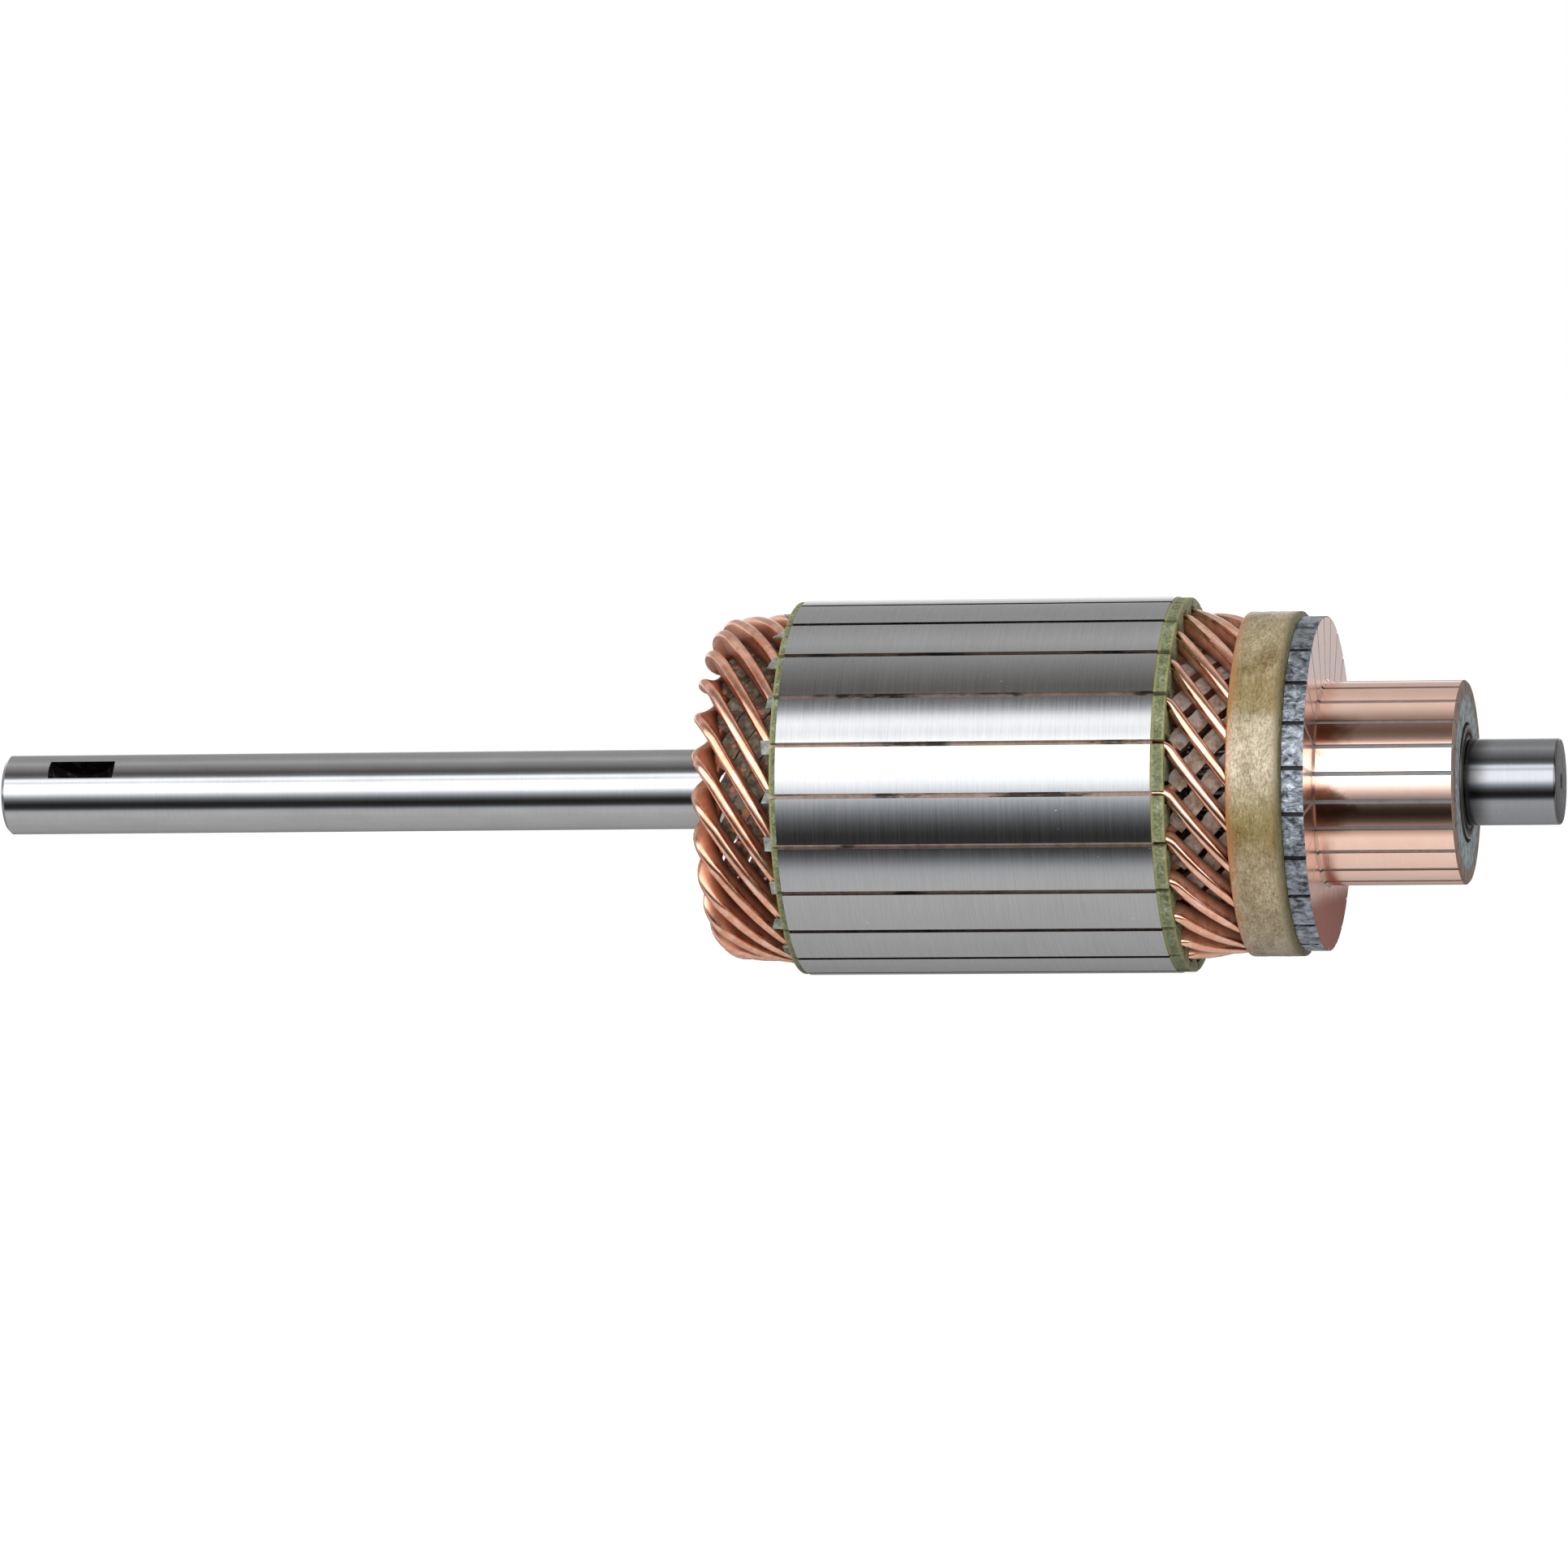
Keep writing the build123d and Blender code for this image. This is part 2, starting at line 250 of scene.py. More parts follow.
class Value:
    """A shader value. Its operators add Math nodes."""

    def __init__(self, nodes, socket):
        self.nodes = nodes
        self.socket = socket

    def math(self, operation, *others):
        return self.nodes.add("ShaderNodeMath", {"operation": operation}, [self, *others])

    def __add__(self, other):
        return self.math("ADD", other)

    __radd__ = __add__

    def __sub__(self, other):
        return self.math("SUBTRACT", other)

    def __rsub__(self, other):
        return self.math("MULTIPLY", -1.0).math("ADD", other)

    def __mul__(self, other):
        return self.math("MULTIPLY", other)

    __rmul__ = __mul__

    def step(self, low, high):
        """0 below low, 1 above high, smooth between them."""
        values = {"Value": self, "From Min": low, "From Max": high}
        return self.nodes.add("ShaderNodeMapRange", {"interpolation_type": "SMOOTHSTEP"}, values)

    def within(self, low, high, edge):
        """1 between low and high, with an edge this wide on both sides of each."""
        return self.step(low - edge, low + edge) * (1 - self.step(high - edge, high + edge))


class Nodes:
    """A node tree, built up from values."""

    def __init__(self, tree):
        self.tree = tree

    def add(self, kind, settings, values, output=0):
        """Adds a node: settings first, then the values or links of its sockets."""
        made = self.tree.nodes.new(kind)
        for name, value in settings.items():
            if name == "stops":
                ramp = made.color_ramp
                while len(ramp.elements) < len(value):
                    ramp.elements.new(1.0)
                for element, (at, colour) in zip(ramp.elements, value):
                    element.position = at
                    element.color = (*colour, 1)
            else:
                setattr(made, name, value)
        pairs = values.items() if isinstance(values, dict) else enumerate(values)
        for key, value in pairs:
            self.feed(made.inputs[key], value)
        return Value(self, made.outputs[output]) if made.outputs else None

    def feed(self, socket, value):
        if isinstance(value, Value):
            self.tree.links.new(value.socket, socket)
        elif socket.type == "RGBA" and len(value) == 3:
            socket.default_value = (*value, 1)
        else:
            socket.default_value = value

    def split(self, vector):
        """The vector's x, y and z."""
        made = self.add("ShaderNodeSeparateXYZ", {}, [vector]).socket.node
        return [Value(self, socket) for socket in made.outputs]

    def mix(self, factor, low, high):
        """A colour between low and high."""
        return self.add("ShaderNodeMix", {"data_type": "RGBA"}, {0: factor, 6: low, 7: high}, 2)

    def ramp(self, value, *stops):
        return self.add("ShaderNodeValToRGB", {"stops": stops}, [value])


class Finish(Nodes):
    """A procedural material with one Principled shader."""

    def __init__(self, name, **settings):
        self.material = bpy.data.materials.new(name)
        self.material.use_nodes = True
        super().__init__(self.material.node_tree)
        self.shader = self.tree.nodes["Principled BSDF"]
        for socket, value in settings.items():
            self.set(socket.replace("_", " "), value)
        self.place = self.add("ShaderNodeTexCoord", {}, {}, "Object")

    def set(self, name, value):
        self.feed(self.shader.inputs[name], value)

    def scaled(self, x, y, z):
        """Object coordinates in millimetres, stretched by the three factors."""
        scale = (x / mm, y / mm, z / mm)
        return self.add("ShaderNodeVectorMath", {"operation": "MULTIPLY"}, [self.place, scale])

    def axes(self):
        """x, y and z in millimetres, and the distance from the shaft's axis."""
        x, y, z = self.split(self.scaled(1, 1, 1))
        return x, y, z, (y * y + z * z).math("SQRT")

    def noise(self, scale, detail, roughness, distortion=0.0):
        """Noise with this many waves to the millimetre along x, y and z."""
        vector = scale if isinstance(scale, Value) else self.scaled(*scale)
        values = {"Vector": vector, "Scale": 1.0, "Detail": detail, "Roughness": roughness}
        return self.add("ShaderNodeTexNoise", {}, {**values, "Distortion": distortion})

    def bump(self, height, depth):
        """Height from 0 to 1 stands for depth in millimetres."""
        values = {"Height": height, "Distance": depth * mm, "Strength": 1.0}
        self.set("Normal", self.add("ShaderNodeBump", {}, values))


# Finishes

def ground_steel():
    """Ground shaft, duller on the stub, nearly black in the key seat, with grime and painted shade
    towards the stub's root, painted shade in the centre holes and a painted dark reflection on the
    stub's edge.
    """
    f = Finish("ground_steel")
    x, y, z, r = f.axes()
    rings = f.noise((9, 0.25, 0.25), 3.0, 0.6)
    cloud = f.noise((0.12, 0.3, 0.3), 4.0, 0.6)
    scuffs = f.noise((2.5, 1.2, 1.2), 6.0, 0.75).step(0.60, 0.72)
    on_stub = x.step(bush_end - 0.5, bush_end)
    in_seat = (1 - r.step(shaft_r - 0.12, shaft_r - 0.04)) * (1 - x.step(nose_tip - 1, nose_tip))
    in_seat = in_seat * x.step(shaft_start + 3, shaft_start + 4)
    grime = f.noise((0.6, 0.6, 0.6), 5.0, 0.7).step(0.52, 0.7)
    steel = f.mix(rings * 0.4 + cloud * 0.6, (0.31, 0.31, 0.315), (0.50, 0.50, 0.505))
    stub = f.mix(rings * 0.4 + scuffs * 0.6, (0.26, 0.266, 0.278), (0.42, 0.428, 0.445))
    black = f.mix(grime, (0.012, 0.011, 0.010), (0.10, 0.095, 0.10))
    at_end = x.step(shaft_end - 0.12, shaft_end - 0.02)
    at_end = at_end + (1 - x.step(shaft_start + 0.02, shaft_start + 0.12))
    in_hole = 1 - r.step(centre_hole_r - 0.06, centre_hole_r - 0.01)
    # A painted dark reflection on the stub's rounded edge.
    edge_dark_reflection = x.within(shaft_end - stub_edge_r, shaft_end - 0.04, 0.05)
    edge_dark_reflection = edge_dark_reflection * r.step(stub_r - 0.5, stub_r - 0.4)
    on_step = x.within(bush_end - 0.05, bush_end + 0.05, 0.03)
    on_step = on_step * r.step(stub_r + 0.03, stub_r + 0.08)
    # Painted shade in the centre holes and on the step at the bush.
    hole_and_step_shade = in_hole.math("MAXIMUM", on_step)
    # Grime and painted shade towards the stub's root at the bush.
    at_root = on_stub * (1 - (x + 1.4 * (cloud - 0.5)).step(bush_end + 0.8, bush_end + 4.5))
    bright = f.mix(in_seat, f.mix(on_stub, steel, stub), black)
    facing = f.mix(scuffs * 0.4 + grime * 0.6, (0.045, 0.046, 0.05), (0.22, 0.22, 0.23))
    dark = (at_root * 0.85 + edge_dark_reflection * 0.6).math("MAXIMUM", hole_and_step_shade)
    f.set("Base Color", f.mix(dark, f.mix(at_end, bright, facing), (0.022, 0.020, 0.020)))
    f.set("Metallic", 1 - hole_and_step_shade - 0.5 * at_end * (1 - in_hole))
    dulling = 0.5 * in_seat + 0.35 * at_end + 0.5 * hole_and_step_shade
    f.set("Roughness", 0.08 + 0.05 * cloud + 0.03 * rings + 0.10 * on_stub * scuffs + dulling)
    f.bump(rings + scuffs * on_stub, 0.002)
    return f.material


def core_steel():
    """Turned laminations: fine streaks round the core, a few bright nicks."""
    f = Finish("core_steel", Metallic=1.0)
    streaks = f.noise((5, 0.10, 0.10), 5.0, 0.65)
    fine = f.noise((14, 0.5, 0.5), 2.0, 0.5)
    cloud = f.noise((0.08, 0.12, 0.12), 4.0, 0.6)
    worn = f.noise((0.07, 0.10, 0.10), 2.0, 0.5).step(0.50, 0.62)
    scratch = f.noise((0.7, 1.6, 1.6), 4.0, 0.7, 0.6).step(0.69, 0.73)
    nicks = worn * scratch
    tone = streaks * 0.5 + fine * 0.25 + cloud * 0.25
    steel = f.mix(tone, (0.285, 0.286, 0.290), (0.535, 0.535, 0.54))
    f.set("Base Color", f.mix(nicks, steel, (0.72, 0.72, 0.72)))
    f.set("Roughness", 0.13 + 0.12 * streaks + 0.30 * nicks)
    f.bump(streaks * 0.6 + fine * 0.4 + nicks, 0.005)
    return f.material


def winding_copper():
    """Drawn copper with painted shade: the bars' sides and the gaps between them are darkened by their
    depth.
    """
    f = Finish("winding_copper")
    patches = f.noise((0.5, 0.5, 0.5), 5.0, 0.6)
    grain = f.noise((2, 2, 2), 3.0, 0.6)
    depth = f.add("ShaderNodeAttribute", {"attribute_name": "depth"}, {}, "Fac")
    # Painted shade: by depth below the outer face, the bars' sides take a shaded colour and the gaps
    # between them a darker one.
    uneven = depth + 0.25 * (patches - 0.5)
    flank = uneven.step(0.08, 0.42)
    deep = uneven.step(0.45, 0.95)
    drawn = f.mix(patches.step(0.35, 0.7), (0.81, 0.42, 0.28), (0.95, 0.60, 0.47))
    browned = f.mix(patches.step(0.35, 0.7), (0.74, 0.345, 0.215), (0.93, 0.565, 0.43))
    at_drive = 1 - f.axes()[0].step(core_start, core_end)
    commutator_flank_shade = f.mix(patches.step(0.3, 0.7), (0.52, 0.185, 0.085), (0.77, 0.365, 0.235))
    flank_shade = f.mix(at_drive, commutator_flank_shade, f.mix(patches, (0.40, 0.125, 0.055), (0.70, 0.275, 0.145)))
    shaded = f.mix(patches, (0.07, 0.028, 0.014), (0.20, 0.085, 0.045))
    outer = f.mix(at_drive, drawn, browned)
    f.set("Base Color", f.mix(deep * 0.85, f.mix(flank * 0.9, outer, flank_shade), shaded))
    f.set("Metallic", 1 - flank * (0.8 - 0.35 * at_drive))
    f.set("Roughness", 0.11 + 0.10 * grain + 0.20 * flank + 0.07 * at_drive)
    f.bump(grain, 0.004)
    return f.material


# Painted shade for the lowest part of the riser's face.
shaded_face_copper = (0.30, 0.125, 0.10)
tin_tones = (
    (0.34, (0.05, 0.055, 0.06)), (0.44, (0.19, 0.21, 0.235)),
    (0.56, (0.34, 0.37, 0.415)), (0.70, (0.56, 0.60, 0.66)),
)


def lower_face_shade(z, cloud):
    """1 on the lowest part of the riser's face, where shade is painted."""
    return 1 - (z + 2 * (cloud - 0.5)).step(-18, -13)


def segment_copper():
    """Turned copper with two bands of painted dark reflection, painted shade low on the riser's face and
    at the barrel's root, tinned on the riser's rim and dull at the end.
    """
    f = Finish("segment_copper")
    x, y, z, r = f.axes()
    in_slit = r.step(riser_r - 0.62, riser_r - 0.56) * (1 - x.step(riser_end - 0.12, riser_end - 0.06))
    on_rim = in_slit.math("MAXIMUM", r.step(riser_r - 0.14, riser_r - 0.08))
    on_end = x.step(barrel_end - 0.36, barrel_end - 0.30)
    turning = f.noise((12, 0.15, 0.15), 3.0, 0.6)
    on_face = x.within(riser_end - 0.04, riser_end + 0.04, 0.02) * r.step(barrel_r + 0.3, barrel_r + 0.4)
    rings = f.noise(f.add("ShaderNodeCombineXYZ", {}, [r * 14, 0.0, 0.0]), 2.0, 0.5)
    cloud = f.noise((0.3, 0.3, 0.3), 4.0, 0.6)
    lumps = f.noise((0.8, 1.1, 1.1), 5.0, 0.6, 0.4)
    bright = f.mix(turning * 0.5 + cloud * 0.5, (0.93, 0.565, 0.435), (1.0, 0.745, 0.635))
    near_root = 1 - (x + 7 * (cloud - 0.5)).step(riser_end + 1.5, riser_end + 7)
    # Two bands at fixed heights are painted dark reflections, darker towards the riser.
    upper_dark_reflection = z.within(6.2, 10.2, 1.0) * (0.50 + 0.48 * near_root)
    lower_dark_reflection = z.within(-6.8, -3.2 + 3.4 * near_root, 0.8) * (0.66 + 0.28 * near_root)
    copper = f.mix(upper_dark_reflection + lower_dark_reflection, bright, (0.21, 0.066, 0.028))
    # Painted shade on the lowest part of the riser's face, matt as well.
    shade = lower_face_shade(z, cloud)
    pale_face = f.mix(rings, (0.92, 0.62, 0.55), (0.99, 0.80, 0.73))
    faced = f.mix(on_face, copper, f.mix(shade, pale_face, shaded_face_copper))
    tinned = f.ramp(lumps, *tin_tones)
    # Painted shade in the corner where the barrel meets the riser.
    at_root = 1 - x.step(riser_end + 0.3, riser_end + 0.45)
    at_root = at_root * (1 - r.step(barrel_r + 0.3, barrel_r + 0.4))
    dull_end_and_root_shade = on_end.math("MAXIMUM", at_root * 0.35)
    dulled_and_shaded = f.mix(dull_end_and_root_shade, faced, f.mix(cloud, (0.12, 0.075, 0.05), (0.30, 0.21, 0.165)))
    f.set("Base Color", f.mix(on_rim, dulled_and_shaded, tinned))
    matt = on_face * shade
    f.set("Metallic", 1 - 0.9 * matt - on_end * (1 - on_face))
    dulling = 0.24 * on_rim + 0.5 * on_end + 0.1 * on_face + 0.6 * matt
    f.set("Roughness", 0.12 + 0.07 * turning + dulling)
    marks = turning * (1 - on_face) + rings * on_face
    f.bump(marks * 0.02 * (1 - on_rim) + lumps * on_rim, 0.40)
    return f.material


def solder():
    """Dull, lumpy tin, as on the riser's rim."""
    f = Finish("solder", Metallic=1.0)
    lumps = f.noise((0.8, 1.1, 1.1), 5.0, 0.6, 0.4)
    f.set("Base Color", f.ramp(lumps, *tin_tones))
    f.set("Roughness", 0.32)
    f.bump(lumps, 0.40)
    return f.material


def fibre():
    """Mottled grey-green fibre, yellower along the rim's edges."""
    f = Finish("fibre", Roughness=0.6)
    x, y, z, r = f.axes()
    mottle = f.noise((0.45, 0.45, 0.45), 6.0, 0.7)
    specks = f.noise((2.4, 2.4, 2.4), 3.0, 0.7)
    tone = mottle * 0.5 + specks * 0.5
    sage = f.ramp(
        tone, (0.38, (0.075, 0.087, 0.030)), (0.47, (0.16, 0.183, 0.088)),
        (0.55, (0.255, 0.28, 0.158)), (0.64, (0.46, 0.475, 0.35)),
    )
    place = x + 0.8 * (mottle - 0.5)
    near_core = place.within(core_end - 0.5, core_end + 0.35, 0.15)
    at_commutator = place.step(commutator_face - 0.45, commutator_face - 0.1)
    at_drive = place.within(drive_face - 0.3, drive_face + 0.25, 0.15)
    edge = (near_core + (at_commutator + at_drive)) * r.step(core_r - 0.8, core_r - 0.4)
    f.set("Base Color", f.mix(edge * 0.55, sage, (0.42, 0.40, 0.13)))
    f.bump(specks, 0.10)
    return f.material


def slot_paper():
    """Grey-blue liner, tan where it closes the slot: the tan is painted light so that it shows down in
    the slot, in runs broken by painted shade.
    """
    f = Finish("slot_paper", Roughness=0.7)
    x = f.axes()[0]
    mottle = f.noise((0.55, 0.55, 0.55), 6.0, 0.7)
    fleck = f.noise((5, 5, 5), 2.0, 0.5)
    tone = mottle * 0.8 + fleck * 0.2
    grey = f.ramp(
        tone, (0.36, (0.10, 0.10, 0.075)), (0.45, (0.23, 0.26, 0.235)),
        (0.55, (0.40, 0.44, 0.42)), (0.66, (0.70, 0.73, 0.71)),
    )
    # Runs of painted shade break the tan, which is itself painted light to show down in the slot.
    lit_runs = f.noise((0.08, 0.4, 0.4), 4.0, 0.7).step(0.38, 0.50)
    pale = f.ramp(tone, (0.35, (0.74, 0.46, 0.33)), (0.55, (0.95, 0.70, 0.56)), (0.7, (1.0, 0.88, 0.78)))
    tan = f.mix(lit_runs, (0.10, 0.085, 0.07), pale)
    inside = (x + 1.5 * (mottle - 0.5)).step(drive_face - 0.6, drive_face + 0.4)
    f.set("Base Color", f.mix(inside, grey, tan))
    f.bump(fleck, 0.05)
    return f.material


def layer_paper():
    """Brown-grey strips with painted glints, darker at the drive end, with spots of copper showing
    through.
    """
    f = Finish("layer_paper", Roughness=0.5)
    x = f.axes()[0]
    mottle = f.noise((0.8, 0.8, 0.8), 5.0, 0.65)
    glint = f.noise((0.35, 0.35, 0.35), 3.0, 0.5).step(0.55, 0.66)
    brown = f.ramp(
        mottle, (0.34, (0.23, 0.150, 0.105)), (0.5, (0.45, 0.335, 0.26)), (0.66, (0.66, 0.55, 0.46)),
    )
    # glint paints pale highlights on the strips.
    brown_with_glints = f.mix(glint * 0.6, brown, (0.58, 0.62, 0.66))
    dark = f.ramp(
        mottle, (0.34, (0.065, 0.038, 0.022)), (0.50, (0.17, 0.120, 0.075)),
        (0.66, (0.38, 0.335, 0.25)),
    )
    spots = f.noise((0.62, 0.62, 0.62), 2.0, 0.5).step(0.61, 0.65)
    specked = f.mix(spots, f.mix(glint * 0.55, dark, (0.44, 0.47, 0.43)), (0.80, 0.31, 0.15))
    f.set("Base Color", f.mix(x.step(core_start, core_end), specked, brown_with_glints))
    f.bump(mottle, 0.12)
    return f.material


def bound_tape():
    """Glass tape in thick varnish: fine grain, cloudy patches, an amber edge, and dark olive painted
    shade along the edge at the riser.
    """
    f = Finish("bound_tape", Coat_IOR=2.5, Coat_Roughness=0.24)
    x = f.axes()[0]
    specks = f.noise((2.8, 1.9, 1.9), 3.0, 0.85)
    fibres = f.noise((4.5, 0.6, 0.6), 4.0, 0.7, 0.4)
    clouds = f.noise((0.32, 0.20, 0.20), 5.0, 0.65)
    tone = specks.step(0.34, 0.66) * 0.34 + fibres.step(0.34, 0.66) * 0.22
    tone = tone + clouds.step(0.26, 0.74) * 0.44
    khaki = f.ramp(
        tone, (0.12, (0.15, 0.075, 0.012)), (0.36, (0.29, 0.195, 0.050)), (0.60, (0.41, 0.300, 0.105)),
        (0.90, (0.66, 0.54, 0.29)),
    )
    ragged = x + 1.8 * (specks - 0.5) + 1.2 * (clouds - 0.5)
    amber = 1 - ragged.step(band_start + 0.2, band_start + 1.4)
    # Painted shade along the edge at the riser.
    dark = ragged.step(band_end - 1.5, band_end + 0.1)
    edged = f.mix(amber * 0.9, khaki, (0.52, 0.20, 0.025))
    f.set("Base Color", f.mix(dark * 0.8, edged, (0.085, 0.085, 0.04)))
    f.set("Roughness", 0.45 + 0.3 * fibres)
    wet = 0.25 + 1.1 * specks.step(0.25, 0.75) * clouds.step(0.2, 0.6)
    wet = wet.math("MINIMUM", 1.0)
    f.set("Coat Weight", wet * (1 - 0.85 * dark))
    f.bump(fibres * 0.5 + specks * 0.5, 0.36)
    return f.material


def moulding_resin():
    """Grey-blue resin with painted shade in the rim's slits, and copper smeared over the riser's face,
    with painted shade on the face's lowest part.
    """
    f = Finish("moulding_resin")
    x, y, z, r = f.axes()
    cloud = f.noise((0.8, 0.8, 0.8), 5.0, 0.6)
    # Painted shade in the rim's slits.
    slit_shade = r.step(riser_r - 1.2, riser_r - 0.8) * (1 - x.step(riser_end - 0.08, riser_end - 0.02))
    on_face = x.within(riser_end - 0.05, riser_end + 0.05, 0.03) * r.step(barrel_r + 0.2, barrel_r + 0.4)
    # The smear is thicker towards the bottom of the face, where it carries the face's painted shade.
    smear = on_face * (0.18 + 0.80 * (1 - (z + 6 * (cloud - 0.5)).step(-9, 9)))
    at_end = x.step(barrel_end - 0.05, barrel_end - 0.01)
    dirt = (r + 3.0 * (cloud - 0.5)).step(barrel_r - 2.6, barrel_r - 1.4)
    pale = f.mix(cloud, (0.13, 0.145, 0.15), (0.27, 0.295, 0.31))
    patchy = f.mix(cloud.step(0.3, 0.7), (0.11, 0.13, 0.13), (0.40, 0.47, 0.49))
    end = f.mix(dirt, patchy, (0.10, 0.07, 0.05))
    body = f.mix(slit_shade, f.mix(at_end, pale, end), (0.012, 0.012, 0.014))
    # Painted shade on the lowest part of the riser's face.
    shade = lower_face_shade(z, cloud)
    f.set("Base Color", f.mix(smear, body, f.mix(shade, (0.90, 0.66, 0.58), shaded_face_copper)))
    f.set("Metallic", smear * (1 - shade))
    f.set("Roughness", 0.25 + 0.2 * cloud + 0.3 * slit_shade + 0.4 * at_end + 0.5 * smear * shade)
    f.bump(cloud, 0.08)
    return f.material


def bush_steel():
    """Turned steel, darker towards the shaft from grime and painted shade."""
    f = Finish("bush_steel")
    x, y, z, r = f.axes()
    rings = f.noise((8, 0.6, 0.6), 3.0, 0.6)
    # Grime and painted shade towards the shaft, where the bush meets the stub.
    grime = 1 - (r + rings - 0.5).step(commutator_seat_r + 0.6, commutator_seat_r + 1.5)
    turned_steel = f.mix(rings, (0.09, 0.085, 0.078), (0.24, 0.23, 0.215))
    f.set("Base Color", f.mix(grime, turned_steel, (0.035, 0.024, 0.018)))
    f.set("Metallic", 1 - 0.85 * grime)
    f.set("Roughness", 0.3 + 0.15 * rings + 0.4 * grime)
    f.bump(rings, 0.01)
    return f.material


# Shaft

def key_cutter():
    """Disc cutter that sinks the half-round key's seat."""
    half = key_seat_length / 2
    cutter_r = (half ** 2 + key_seat_depth ** 2) / (2 * key_seat_depth)
    height = shaft_r - key_seat_depth + cutter_r
    middle = Vector((shaft_start + key_seat_from_end + half, 0, 0))
    outward = Vector((0, math.cos(key_seat_angle), math.sin(key_seat_angle)))
    across = Vector((0, -math.sin(key_seat_angle), math.cos(key_seat_angle)))
    deselect()
    bpy.ops.mesh.primitive_cylinder_add(vertices=128, radius=cutter_r * mm, depth=key_seat_w * mm)
    cutter = bpy.context.object
    turn = Matrix((Vector((1, 0, 0)), outward, across)).transposed()
    if turn.determinant() < 0:
        turn = Matrix((Vector((-1, 0, 0)), outward, across)).transposed()
    cutter.data.transform(Matrix.Translation((middle + outward * height) * mm) @ turn.to_4x4())
    return cutter


def rounded_edge(x, r, edge_r):
    """(x, radius) points round a turned edge at the +X end."""
    points = []
    for number in range(5):
        angle = math.radians(22.5 * number)
        points.append((x - edge_r + edge_r * math.sin(angle), r - edge_r + edge_r * math.cos(angle)))
    return points


def make_shaft(finish):
    corners = [
        (shaft_start + centre_hole_depth, 0),
        (shaft_start + centre_hole_depth - centre_tip, centre_pilot_r),
        (shaft_start + centre_cone, centre_pilot_r), (shaft_start, centre_hole_r),
        (shaft_start, shaft_r - shaft_chamfer), (shaft_start + shaft_chamfer, shaft_r),
        (nose_tip, shaft_r), (nose_tip, seat_r - shaft_chamfer), (nose_tip + shaft_chamfer, seat_r),
        (commutator_face, seat_r), (commutator_face, commutator_seat_r), (bush_end, commutator_seat_r),
        (bush_end, stub_r), *rounded_edge(shaft_end, stub_r, stub_edge_r),
        (shaft_end, centre_hole_r), (shaft_end - centre_cone, centre_pilot_r),
        (shaft_end - centre_hole_depth + centre_tip, centre_pilot_r), (shaft_end - centre_hole_depth, 0),
    ]
    piece = turned("ground_shaft", corners)
    cutter = key_cutter()
    pick(piece)
    cut = piece.modifiers.new("key_seat", "BOOLEAN")
    cut.operation = "DIFFERENCE"
    cut.object = cutter
    bpy.ops.object.modifier_apply(modifier=cut.name)
    bpy.data.objects.remove(cutter)
    smooth(piece)
    settle(piece, finish, "shaft_steel", "shaft")


# Winding
# A station on a bar's path is (x, radius, angle, fold). Fold is how far the outer
# face has tipped over towards -X: not at all in the outer layer, which is layer 0,
# and by half a turn in the inner one, layer 1.

fold_r = nose_bend_r + bar_h / 2
nose_start = nose_tip + fold_r + bar_h / 2
drive_outer_r = slot_outer_r - drive_drop
drive_leave = core_start - bend_margin


def steps(count):
    return [number / count for number in range(1, count + 1)]


def bend_and_straight(slant, straight, bend_r, layer_r):
    """(run, sweep) points of a bend at the slot and the straight after it."""
    points = [(0.0, 0.0)]
    for part in steps(bend_steps):
        turn = part * slant
        points.append((bend_r * math.sin(turn), bend_r * (1 - math.cos(turn)) / layer_r))
    run, sweep = points[-1]
    for part in steps(leg_steps):
        along = part * straight
        points.append((run + along * math.cos(slant), sweep + along * math.sin(slant) / layer_r))
    return points


def drive_leg(layer_r):
    """(run, sweep) points from the slot to the nose."""
    run = drive_leave - nose_start
    across = (leg_sweep - nose_sweep / 2) * layer_r - drive_bend_r
    straight = math.sqrt(run ** 2 + across ** 2 - drive_bend_r ** 2)
    slant = math.atan2(across, run) + math.atan2(drive_bend_r, straight)
    return bend_and_straight(slant, straight, drive_bend_r, layer_r)


def commutator_leg(layer_r):
    """(run, sweep) points from the slot to the riser, with a bend at either end."""
    run = riser_start - commutator_face + bend_lead - riser_entry
    across = leg_sweep * layer_r - 2 * commutator_bend_r
    straight = math.sqrt(run ** 2 + across ** 2 - 4 * commutator_bend_r ** 2)
    slant = math.atan2(across, run) + math.atan2(2 * commutator_bend_r, straight)
    points = bend_and_straight(slant, straight, commutator_bend_r, layer_r)[:-1]
    return points + [(run - x, leg_sweep - sweep) for x, sweep in reversed(points[:bend_steps + 1])]


def commutator_stations(layer, slot_angle, sense):
    leave = commutator_face - bend_lead
    level = band_start + band_settle
    fold = layer * math.pi
    mean_r = (slot_outer_r + riser_outer_r) / 2 - layer * layer_step
    stations = []
    for run, sweep in commutator_leg(mean_r):
        part = min(1.0, run / (level - leave))
        r = slot_outer_r + part * (riser_outer_r - slot_outer_r) - layer * layer_step
        stations.append((leave + run, r, slot_angle + sense * sweep, fold))
    end = riser_start + conductor_seat
    stations.append((end, riser_outer_r - layer * layer_step, slot_angle + sense * leg_sweep, fold))
    return stations


def drive_stations(layer, slot_angle, sense):
    fold = layer * math.pi
    layer_r = drive_outer_r - layer * 2 * fold_r
    slot_r = slot_outer_r - layer * layer_step
    points = drive_leg(layer_r)
    whole = points[-1][0]
    stations = []
    for run, sweep in points:
        r = slot_r + (layer_r - slot_r) * run / whole
        stations.append((drive_leave - run, r, slot_angle + sense * sweep, fold))
    return stations


